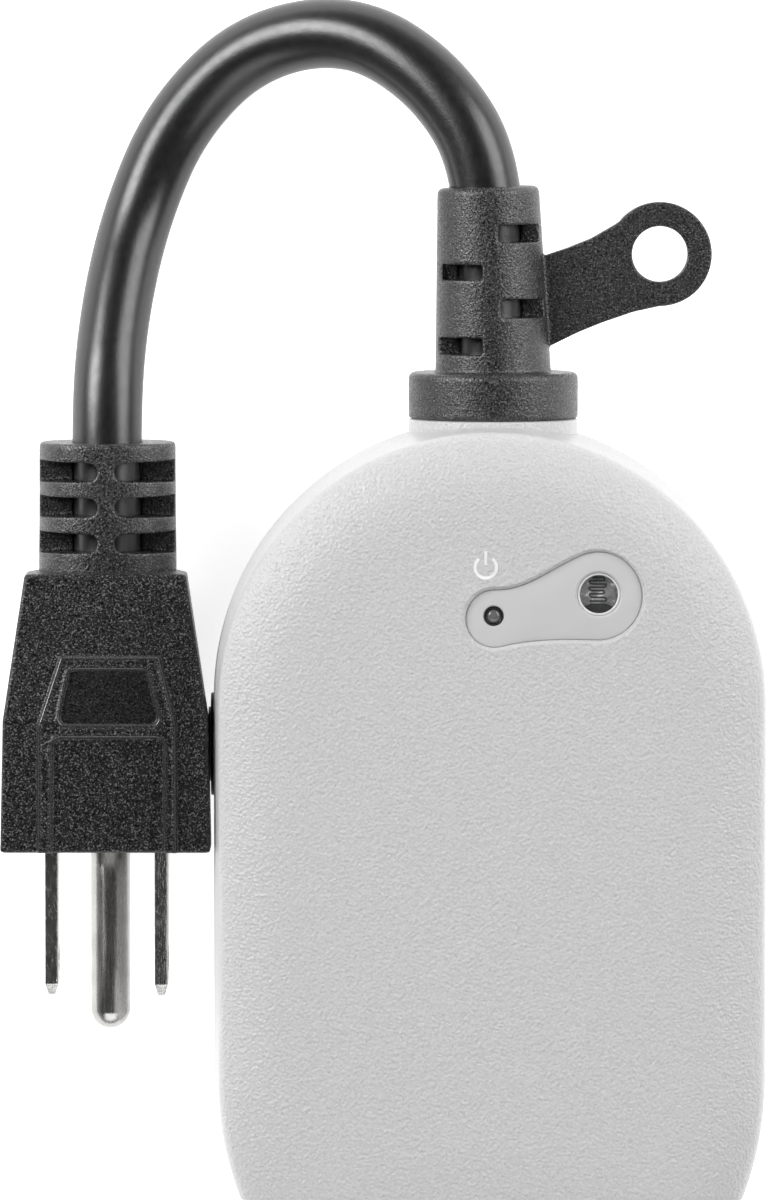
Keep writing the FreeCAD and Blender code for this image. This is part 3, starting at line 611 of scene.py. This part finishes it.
# front shell
core = [ring_at(4.6, 35.6), ring_at(2.4, 33.0), ring_at(2.4, 19.0)]
outer = [front_ring(o, z) for o, z in FRONT_PROFILE]
last = outer[-1]
for s in (0.8, 0.6, 0.4, 0.25):
    outer.append([(x * s, -13.0 + (y + 13.0) * s if y < -13 else 13.0 + (y - 13.0) * s if y > 13 else y,
                   38.0 + 0.03 * (1 - s)) for x, y, z in last])
front = from_rings("front_shell_skin", core + outer)
boolean(front, "UNION", half_neck("nf", 1))
boolean(front, "DIFFERENCE", neck_bore(), mouth_cut(), bezel_cut(),
        lathe("h1", [(1.3, 34.0), (1.3, 37.0)], "Z", LAMP, 40),
        lathe("h2", [(2.7, 34.0), (2.7, 37.0)], "Z", CELL, 56))
tidy(front, 34)
settle(front, "housing", M_SHELL, "front_shell")

# rear shell
core = [ring_at(2.4, 2.4), ring_at(2.4, 19.0)]
rear = from_rings("rear_shell_skin", core + [ring_at(o, z) for o, z in REAR_PROFILE])
boolean(rear, "UNION", half_neck("nr", -1))
POSTS = [(25.0, 20.0), (-25.0, 20.0), (25.8, -20.0), (-25.8, -20.0)]
for i, (x, y) in enumerate(POSTS):
    boolean(rear, "UNION", lathe("post", [(4.1, 1.2), (4.1, 18.95)], "Z", (x, y), 40))
    boolean(rear, "DIFFERENCE",
            lathe("sink", [(3.5, -1.0), (3.5, 0.02), (3.28, 0.14), (3.08, 0.34), (3.0, 0.7),
                           (3.0, 3.6), (1.65, 3.61), (1.65, 20.0)], "Z", (x, y), 48))
boolean(rear, "DIFFERENCE", neck_bore(), mouth_cut(),
        extrude("btn", "X", [(stadium(6.8, 12.0, 11.2, 6.2), -34.0),
                             (stadium(6.8, 12.0, 11.2, 6.2), -28.0)]),
        extrude("plate", "Z", [(rounded_rect(-16.3, 16.3, -12.3, 10.3, 1.7), -1.0),
                               (rounded_rect(-16.3, 16.3, -12.3, 10.3, 1.7), 0.0),
                               (rounded_rect(-16.0, 16.0, -12.0, 10.0, 1.4), 0.12),
                               (rounded_rect(-16.0, 16.0, -12.0, 10.0, 1.4), 0.3)]))
tidy(rear, 34)
settle(rear, "housing", M_SHELL, "rear_shell")

# ---------------------------------------------------------------- sensor bezel
bz = []
for g, z in ((0.085, BEZEL_FLOOR), (0.085, 37.36), (0.06, 37.43), (0.0, 37.48), (-0.09, 37.5)):
    bz.append((peanut(g), z))
bezel = extrude("sensor_bezel_skin", "Z", bz)
boolean(bezel, "DIFFERENCE",
        lathe("c1", [(1.15, 36.0), (1.15, 37.30), (1.19, 37.40), (1.30, 37.51), (1.30, 39.0)],
              "Z", LAMP, 64),
        lathe("c2", [(2.42, 36.0), (2.42, 37.20), (2.50, 37.36), (2.70, 37.51), (2.70, 39.0)],
              "Z", CELL, 96))
tidy(bezel, 34, 0.001)
settle(bezel, "housing", M_BEZEL, "sensor_bezel")

# lamp lens: a low smoked dome with a ring step round it
lens = lathe("lamp_lens_skin", [(1.13, 35.2), (1.13, 36.75), (1.05, 36.86), (0.92, 36.88),
                                (0.86, 36.84), (0.80, 36.88), (0.70, 37.0), (0.52, 37.11),
                                (0.30, 37.18), (0.08, 37.2)], "Z", LAMP, 56)
tidy(lens, 50, 0.0005)
settle(lens, "housing", [M_LAMP, M_LAMP_TIP], "lamp_lens")
for p in lens.data.polygons:
    x, y, z = p.center * 1000
    if z > 36.84 and math.hypot(x - LAMP[0], y - LAMP[1]) < 0.74:
        p.material_index = 1

# cell window: a thin clear disc; the pale faces on its raised rim are a painted highlight
win = lathe("cell_window_skin", [(2.30, 36.62), (2.38, 36.66), (2.40, 36.74), (2.40, 37.24),
                                 (2.37, 37.29), (2.28, 37.30), (2.22, 37.26), (2.18, 37.14),
                                 (2.16, 37.02), (2.10, 36.99)], "Z", CELL, 72)
tidy(win, 40, 0.0005)
settle(win, "housing", [M_WINDOW, M_RIM_HIGHLIGHT], "cell_window")
# the rim's upper faces take the pale painted highlight
for p in win.data.polygons:
    x, y, z = p.center * 1000
    if z > 37.0 and math.hypot(x - CELL[0], y - CELL[1]) > 2.14:
        p.material_index = 1

# photocell: a domed disc with its winding track and a dark electrode below
disc = lathe("photocell_skin", [(2.20, 32.4), (2.30, 32.5), (2.30, 35.75), (2.22, 35.92),
                                (2.0, 36.0), (1.2, 36.03), (0.4, 36.04)], "Z", CELL, 72)
tidy(disc, 40, 0.0005)
settle(disc, "housing", M_CERAMIC, "photocell")


def ribbon(name, pts, width, z, thick=0.03):
    """A flat printed line of even width, through points in the plane."""
    p = [Vector(q) for q in pts]
    a, b = [], []
    for i, q in enumerate(p):
        t = (p[min(i + 1, len(p) - 1)] - p[max(i - 1, 0)]).normalized()
        n = Vector((-t.y, t.x)) * width / 2
        a.append(q + n)
        b.append(q - n)
    rings = []
    for u, v in zip(a, b):
        zz = z((u + v) / 2) if callable(z) else z
        rings.append([(u.x, u.y, zz), (v.x, v.y, zz), (v.x, v.y, zz + thick),
                      (u.x, u.y, zz + thick)])
    return from_rings(name, rings)


track = []
rows = [(1.84, -0.72, 0.40), (1.47, -1.06, 0.58), (1.10, -0.55, 0.74), (0.73, -1.06, 0.56),
        (0.36, -0.62, 0.48), (-0.02, -0.98, 0.42), (-0.42, -0.60, 0.52), (-0.84, -1.02, 0.76)]
cx, cy = CELL
flip = 1
for k, (dy, x0, x1) in enumerate(rows):
    ends = (x0, x1) if flip > 0 else (x1, x0)
    for i in range(9):
        track.append((cx + ends[0] + (ends[1] - ends[0]) * i / 8, cy + dy))
    if k + 1 < len(rows):
        ny = rows[k + 1][0]
        h = (dy - ny) / 2
        nx = rows[k + 1][2] if flip > 0 else rows[k + 1][1]
        ex = ends[1]
        for i in range(1, 8):
            a = math.pi / 2 - math.pi * i / 8
            track.append((cx + ex + (nx - ex) * i / 8 + flip * 0.20 * math.cos(a),
                          cy + dy - h + h * math.sin(a)))
    flip = -flip
tr = ribbon("photocell_track", track, 0.19, 36.03, 0.05)
tidy(tr, 60, 0.0002)
settle(tr, "housing", M_TRACK)
foot = []
for i in range(33):
    a = math.radians(222 + (318 - 222) * i / 32)
    foot.append((cx + 2.22 * math.cos(a), cy + 2.22 * math.sin(a)))
foot += [(cx + 1.05, cy - 1.22), (cx + 0.9, cy - 1.12), (cx - 0.95, cy - 1.12), (cx - 1.15, cy - 1.3)]
ft = extrude("photocell_electrode", "Z", [(foot, 35.9), (foot, 36.09)])
tidy(ft, 40, 0.0002)
settle(ft, "housing", M_TRACK)

# status symbol printed above the lamp: an open ring with a bar, the usual sign for power
px_, py_, pr = -0.77, 29.05, 1.22
arc_pts = []
for i in range(61):
    a = math.radians(90 + 38 + (360 - 76) * i / 60)
    arc_pts.append((px_ + pr * math.cos(a), py_ + pr * math.sin(a)))
sym = ribbon("power_symbol", arc_pts, 0.36, 38.022, 0.02)
bar = ribbon("power_symbol_bar", [(px_, py_ + 0.25), (px_, py_ + 1.0), (px_, py_ + 1.85)], 0.36,
             38.022, 0.02)
for q in (sym, bar):
    tidy(q, 60, 0.0002)
    settle(q, "housing", M_PRINT)

# ---------------------------------------------------------------- strain relief
relief = refine("strain_relief", 0.16, 5)
settle(relief, "housing", M_BOOT, "strain_relief")

# ---------------------------------------------------------------- the lead
cu = bpy.data.curves.new("lead", "CURVE")
cu.dimensions = "3D"
sp = cu.splines.new("NURBS")
sp.points.add(len(CORD_ROUTE) - 1)
for p, (x, y, z) in zip(sp.points, CORD_ROUTE):
    p.co = (x * MM, y * MM, z * MM, 1.0)
sp.order_u = 3
sp.use_endpoint_u = True
sp.resolution_u = 24
cu.bevel_depth = 4.05 * MM
cu.bevel_resolution = 14
cu.use_fill_caps = True
cu.materials.append(M_CORD)
lead = bpy.data.objects.new("lead", cu)
bpy.context.scene.collection.objects.link(lead)
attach(lead, "housing")
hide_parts("cord_jacket")
for n in ("cord_root", "cord_tail"):
    paint(n, M_CORD)

# ---------------------------------------------------------------- plug


PX, FACE_Y, KINK_Y, TOP_Y, BASE_H = -44.4, -4.7, 10.5, 27.3, 25.65
TAIL_W, TAIL_H, TAIL_Z, TAIL_TOP = 8.0, 7.0, 13.5, 42.1


def inside(poly, x, y):
    """Distance from a point to a polygon's edge: positive inside."""
    hit, best = False, 1e9
    for (ax, ay), (bx, by) in zip(poly, poly[1:] + poly[:1]):
        t = max(0.0, min(1.0, ((x - ax) * (bx - ax) + (y - ay) * (by - ay))
                         / ((bx - ax) ** 2 + (by - ay) ** 2)))
        best = min(best, math.hypot(x - ax - t * (bx - ax), y - ay - t * (by - ay)))
        if (ay > y) != (by > y) and x < (bx - ax) * (y - ay) / (by - ay) + ax:
            hit = not hit
    return best if hit else -best


def softened(poly, r, n=5):
    """The polygon with its corners rounded."""
    out = []
    m = len(poly)
    for i in range(m):
        p, a, b = Vector(poly[i]), Vector(poly[i - 1]), Vector(poly[(i + 1) % m])
        u, v = (a - p).normalized(), (b - p).normalized()
        d = r / math.tan(u.angle(v) / 2)
        s0, s1 = p + u * d, p + v * d
        for k in range(n + 1):
            t = k / n
            out.append(tuple((1 - t) ** 2 * s0 + 2 * t * (1 - t) * p + t * t * s1))
    return out


FRAME_OUT = softened([(-49.55, 17.9), (-38.1, 17.9), (-36.2, 10.0), (-36.15, -9.0),
                      (-52.2, -9.0), (-52.15, 10.0)], 0.35)
FRAME_TRAP = softened([(-48.5, 16.4), (-39.66, 16.4), (-38.1, 10.15), (-49.8, 10.15)], 0.9)
FRAME_FIELD = softened([(-50.4, 8.6), (-37.6, 8.6), (-37.7, -9.0), (-50.55, -9.0)], 1.0)


def ramp01(t):
    t = max(0.0, min(1.0, t))
    return t * t * (3 - 2 * t)


def frame_depth(x, y):
    """How far a point is inside the raised frame of the plug's wide side."""
    if not (-53.2 < x < -35.2 and y < 18.9):
        return -9.0
    return min(inside(FRAME_OUT, x, y), -inside(FRAME_TRAP, x, y), -inside(FRAME_FIELD, x, y))


def relief_at(x, y):
    """The frame's height, with a fine bead along its edges."""
    d = frame_depth(x, y)
    return 0.33 * ramp01((d + 0.14) / 0.28) + 0.15 * math.exp(-((d - 0.26) / 0.20) ** 2)


def plug_ring(y, inset=0.0):
    if y <= KINK_Y:
        t = (y - FACE_Y) / (KINK_Y - FACE_Y)
        w, z0, z1 = 12.1 + (11.78 - 12.1) * t, 0.0, BASE_H
    else:
        t = (y - KINK_Y) / (TOP_Y - KINK_Y)
        w, z0, z1 = 11.78 + (9.29 - 11.78) * t, 3.5 * t, BASE_H + (23.4 - BASE_H) * t
    h, r, i = z1 - z0, 0.42, inset
    pts = []
    n = 240
    for k in range(n + 1):                                     # the wide side, left to right
        pts.append([-w + i + r + 2 * (w - i - r) * k / n, z1 - i])
    for k in range(1, 6):                                      # its right-hand edge
        a = math.pi / 2 * (1 - k / 5)
        pts.append([w - i - r + r * math.cos(a), z1 - i - r + r * math.sin(a)])
    low = [(w, z0 + 0.70 * h), (w - 0.03 * h, z0 + 0.60 * h), (w - 0.167 * h, z0 + 0.17 * h),
           (w - 0.20 * h, z0 + 0.07 * h), (w - 0.245 * h, z0 + 0.015 * h), (w - 0.32 * h, z0)]
    for x, z in low:
        pts.append([x - i, max(z, z0 + i) if z > z0 else z0 + i])
    pts += [[-x, z] for x, z in pts[:n:-1] if abs(x) > 1e-6]   # the mirrored half
    return [(PX + x, y, z) for x, z in pts], n


rings = []
steps = [(FACE_Y, 0.34), (FACE_Y + 0.06, 0.17), (FACE_Y + 0.18, 0.05), (FACE_Y + 0.34, 0.0)]
y = FACE_Y + 0.5
while y < TOP_Y - 0.5:
    steps.append((y, 0.0))
    y += 0.13 if y < 19.2 else 0.5
steps += [(TOP_Y - 0.34, 0.0), (TOP_Y - 0.16, 0.06), (TOP_Y - 0.04, 0.2), (TOP_Y, 0.4)]
for y, i in steps:
    ring_pts, n = plug_ring(y, i)
    rings.append([(px, py, pz + relief_at(px, max(py, FACE_Y + 0.01))) if k <= n else (px, py, pz)
                  for k, (px, py, pz) in enumerate(ring_pts)])
plug = from_rings("plug_skin", rings)
for p in plug.data.polygons:
    p.use_smooth = True
plug.data.set_sharp_from_angle(angle=math.radians(50))
settle(plug, "housing", [M_PLUG, M_PLUG_FIELD, M_PLUG_EDGE_HIGHLIGHT], "plug_body")
# faces on the frame's bead slopes take the painted highlight material; faces inside the trapezoid take the
# field material
for p in plug.data.polygons:
    x, y, z = p.center * 1000
    if z > 20 and p.normal.z > 0.2 and y > FACE_Y + 0.4:
        if -0.10 < frame_depth(x, y) < 0.32:
            p.material_index = 2
        elif inside(FRAME_TRAP, x, y) > 0.06:
            p.material_index = 1


def tail_ring(y, inset):
    """An oval, a little squared."""
    pts = []
    for k in range(96):
        a = 2 * math.pi * k / 96
        c, d = math.cos(a), math.sin(a)
        e = 2 / 2.35
        pts.append((PX + (TAIL_W - inset) * math.copysign(abs(c) ** e, c), y,
                    TAIL_Z + (TAIL_H - inset) * math.copysign(abs(d) ** e, d)))
    return pts


tail = from_rings("plug_tail_skin", [tail_ring(y, i) for y, i in (
    (27.0, 0.0), (29.0, 0.02), (34.0, 0.08), (41.5, 0.10), (41.85, 0.15), (42.05, 0.28),
    (42.1, 0.42))])
boolean(tail, "DIFFERENCE", lathe("way", [(4.1, 20.0), (4.1, 44.0)], "Y", (PX, TAIL_Z), 64))
for y1 in (39.94, 35.87, 31.71):
    ym = y1 - 1.085
    for side in (-1, 1):
        slot_pts = []
        for k in range(17):
            a = math.pi / 2 + math.pi * k / 16
            slot_pts.append((PX + side * (2.0 - 1.05 * -math.cos(a)), ym + 1.05 * math.sin(a)))
        slot_pts += [(PX + side * 8.6, ym - 1.28), (PX + side * 8.6, ym + 1.28)]
        for z0, z1 in ((TAIL_Z + 1.1, 22.0), (5.0, TAIL_Z - 1.1)):
            boolean(tail, "DIFFERENCE", extrude("slot", "Z", [(slot_pts, z0), (slot_pts, z1)]))
resurface(tail, 0.15, 3)
settle(tail, "housing", M_BOOT)
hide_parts("plug_body")
# pale bridge insert at the plug face; its pale colour also paints the bright highlight line along that
# face's lower edge
ins = refine("plug_insert", 0.14, 3)
settle(ins, "housing", M_INSERT, "plug_insert")
for node in ("plug_line_blade", "plug_neutral_blade"):
    b = refine(node, 0.10, 2)
    settle(b, "housing", [M_NICKEL, M_SHEAR], node)
    for p in b.data.polygons:                                  # the sheared edges
        if abs(p.normal.z) > 0.8:
            p.material_index = 1
pin = lathe("ground_pin_skin",
            [(1.8, 8.0), (1.8, -4.9), (2.22, -4.95), (2.30, -5.05), (2.30, -10.0), (2.30, -16.0),
             (2.30, -21.0), (2.30, -25.05), (2.27, -25.22), (2.20, -25.42), (2.08, -25.72),
             (1.90, -26.08), (1.66, -26.42), (1.34, -26.72), (0.95, -26.95), (0.5, -27.07),
             (0.06, -27.1)], "Y", (PX, 6.5), 72)
tidy(pin, 40, 0.0005)
settle(pin, "housing", M_PIN, "plug_ground_pin")

# ---------------------------------------------------------------- outlet end
face = refine("outlet_face", 0.20, 3)
settle(face, "housing", M_OUTLET, "outlet_face")
for side in ("left", "right"):
    lid = refine("lid_" + side, 0.17, 4)
    settle(lid, "lid_" + side, M_LID, "lid_" + side)
    pad = refine("lid_seal_" + side, 0.14, 3)
    settle(pad, "lid_" + side, M_SEAL, "lid_seal_" + side)
paint("hinge_pins", M_STEEL)
paint("housing_screws", M_STEEL)

# ---------------------------------------------------------------- side button
ring = refine("button_seal", 0.10, 3)
settle(ring, "housing", M_SEAL, "button_seal")
cap = refine("power_button", 0.10, 3)
settle(cap, "button", M_BUTTON, "power_button")
mark = refine("button_mark", 0.07, 2)
settle(mark, "button", M_MARK, "button_mark")
paint("switch_plunger", M_MARK)

# ---------------------------------------------------------------- inside
for names, mat in (
        (("gasket_left", "gasket_right"), M_SEAL),
        (("status_led",), M_LED), (("sensor_board", "main_board", "radio_board"), M_BOARD),
        (("relay", "tact_switch", "pin_header"), M_CASE), (("transformer",), M_CORE),
        (("capacitors", "radio_shield"), M_CAN), (("varistor",), M_DISC),
        (("fuse_link",), M_FUSE), (("board_screws",), M_STEEL),
        (("contact_carrier",), M_CREAM),
        (("line_contact_bar", "neutral_contact_bar", "ground_contact_bar"), M_BRASS),
        (("wire_line", "wire_switched"), M_BLACK_W), (("wire_neutral", "wire_return"), M_WHITE_W),
        (("wire_ground",), M_GREEN_W)):
    for n in names:
        paint(n, mat)

# ---------------------------------------------------------------- stage, light, camera
fl = bpy.data.meshes.new("floor")
S = 3.0
fl.from_pydata([(-S, -S, -0.00003), (S, -S, -0.00003), (S, S, -0.00003), (-S, S, -0.00003)], [],
               [(0, 1, 2, 3)])
floor = bpy.data.objects.new("floor", fl)
bpy.context.scene.collection.objects.link(floor)
fm = bpy.data.materials.new("floor_pale")
fm.use_nodes = True
fb = fm.node_tree.nodes["Principled BSDF"]
fb.inputs["Base Color"].default_value = (0.86, 0.86, 0.86, 1)
fb.inputs["Roughness"].default_value = 0.9
fb.inputs["Specular IOR Level"].default_value = 0.1
fb.inputs["Emission Color"].default_value = (1, 1, 1, 1)
fb.inputs["Emission Strength"].default_value = 0.76
fl.materials.append(fm)


def facing(d, up):
    """The turn that points an object's Z along d, with its Y near up."""
    z = d.normalized()
    x = up.cross(z).normalized()
    y = z.cross(x)
    return Matrix(((x.x, y.x, z.x), (x.y, y.y, z.y), (x.z, y.z, z.z))).to_quaternion()


def area(name, azimuth, polar, dist, size, energy, size_y=None):
    """A soft box aimed at the object; azimuth from +X towards +Y, polar from straight up."""
    L = bpy.data.lights.new(name, "AREA")
    L.shape = "RECTANGLE"
    L.size, L.size_y = size, size_y or size
    L.energy = energy
    o = bpy.data.objects.new(name, L)
    a, p = math.radians(azimuth), math.radians(polar)
    d = Vector((math.sin(p) * math.cos(a), math.sin(p) * math.sin(a), math.cos(p)))
    o.location = Vector((-0.010, 0.020, 0.02)) + d * dist
    o.rotation_mode = "QUATERNION"
    o.rotation_quaternion = facing(d, Vector((0, 0, 1)))
    bpy.context.scene.collection.objects.link(o)
    return o


area("box_left", 149, 57, 1.0, 0.50, 8.7, 0.46)
area("box_right", 30, 58, 1.0, 0.80, 7.7, 0.60)
area("box_low", 270, 54, 1.1, 1.2, 4.4, 0.65)

w = bpy.data.worlds.new("studio")
bpy.context.scene.world = w
w.use_nodes = True
wt = w.node_tree
bg = wt.nodes["Background"]
tc = wt.nodes.new("ShaderNodeTexCoord")
sep = wt.nodes.new("ShaderNodeSeparateXYZ")
ramp = wt.nodes.new("ShaderNodeValToRGB")
wt.links.new(tc.outputs["Generated"], sep.inputs[0])
wt.links.new(sep.outputs["Z"], ramp.inputs["Fac"])
ramp.color_ramp.elements[0].position = 0.02
ramp.color_ramp.elements[0].color = (0.75, 0.75, 0.75, 1)
ramp.color_ramp.elements[1].position = 0.55
ramp.color_ramp.elements[1].color = (0.10, 0.10, 0.10, 1)
wt.links.new(ramp.outputs["Color"], bg.inputs["Color"])
bg.inputs["Strength"].default_value = 0.5

cam_d = bpy.data.cameras.new("cam")
cam = bpy.data.objects.new("cam", cam_d)
bpy.context.scene.collection.objects.link(cam)
eye = Vector((-0.0120, 0.092, 1.019))
aim = Vector((-0.01225, 0.02405, 0.019))
cam.location = eye
cam.rotation_mode = "QUATERNION"
cam.rotation_quaternion = facing(eye - aim, Vector((0, 1, 0)))
cam_d.sensor_fit = "AUTO"
cam_d.sensor_width = 36.0
cam_d.lens = 36.0 * (eye - aim).length / (1200 / 8.65 * MM)
cam_d.clip_start, cam_d.clip_end = 0.05, 20
bpy.context.scene.camera = cam
vs = bpy.context.scene.view_settings
vs.view_transform = "Standard"
vs.look = "None"
vs.exposure = 0.0
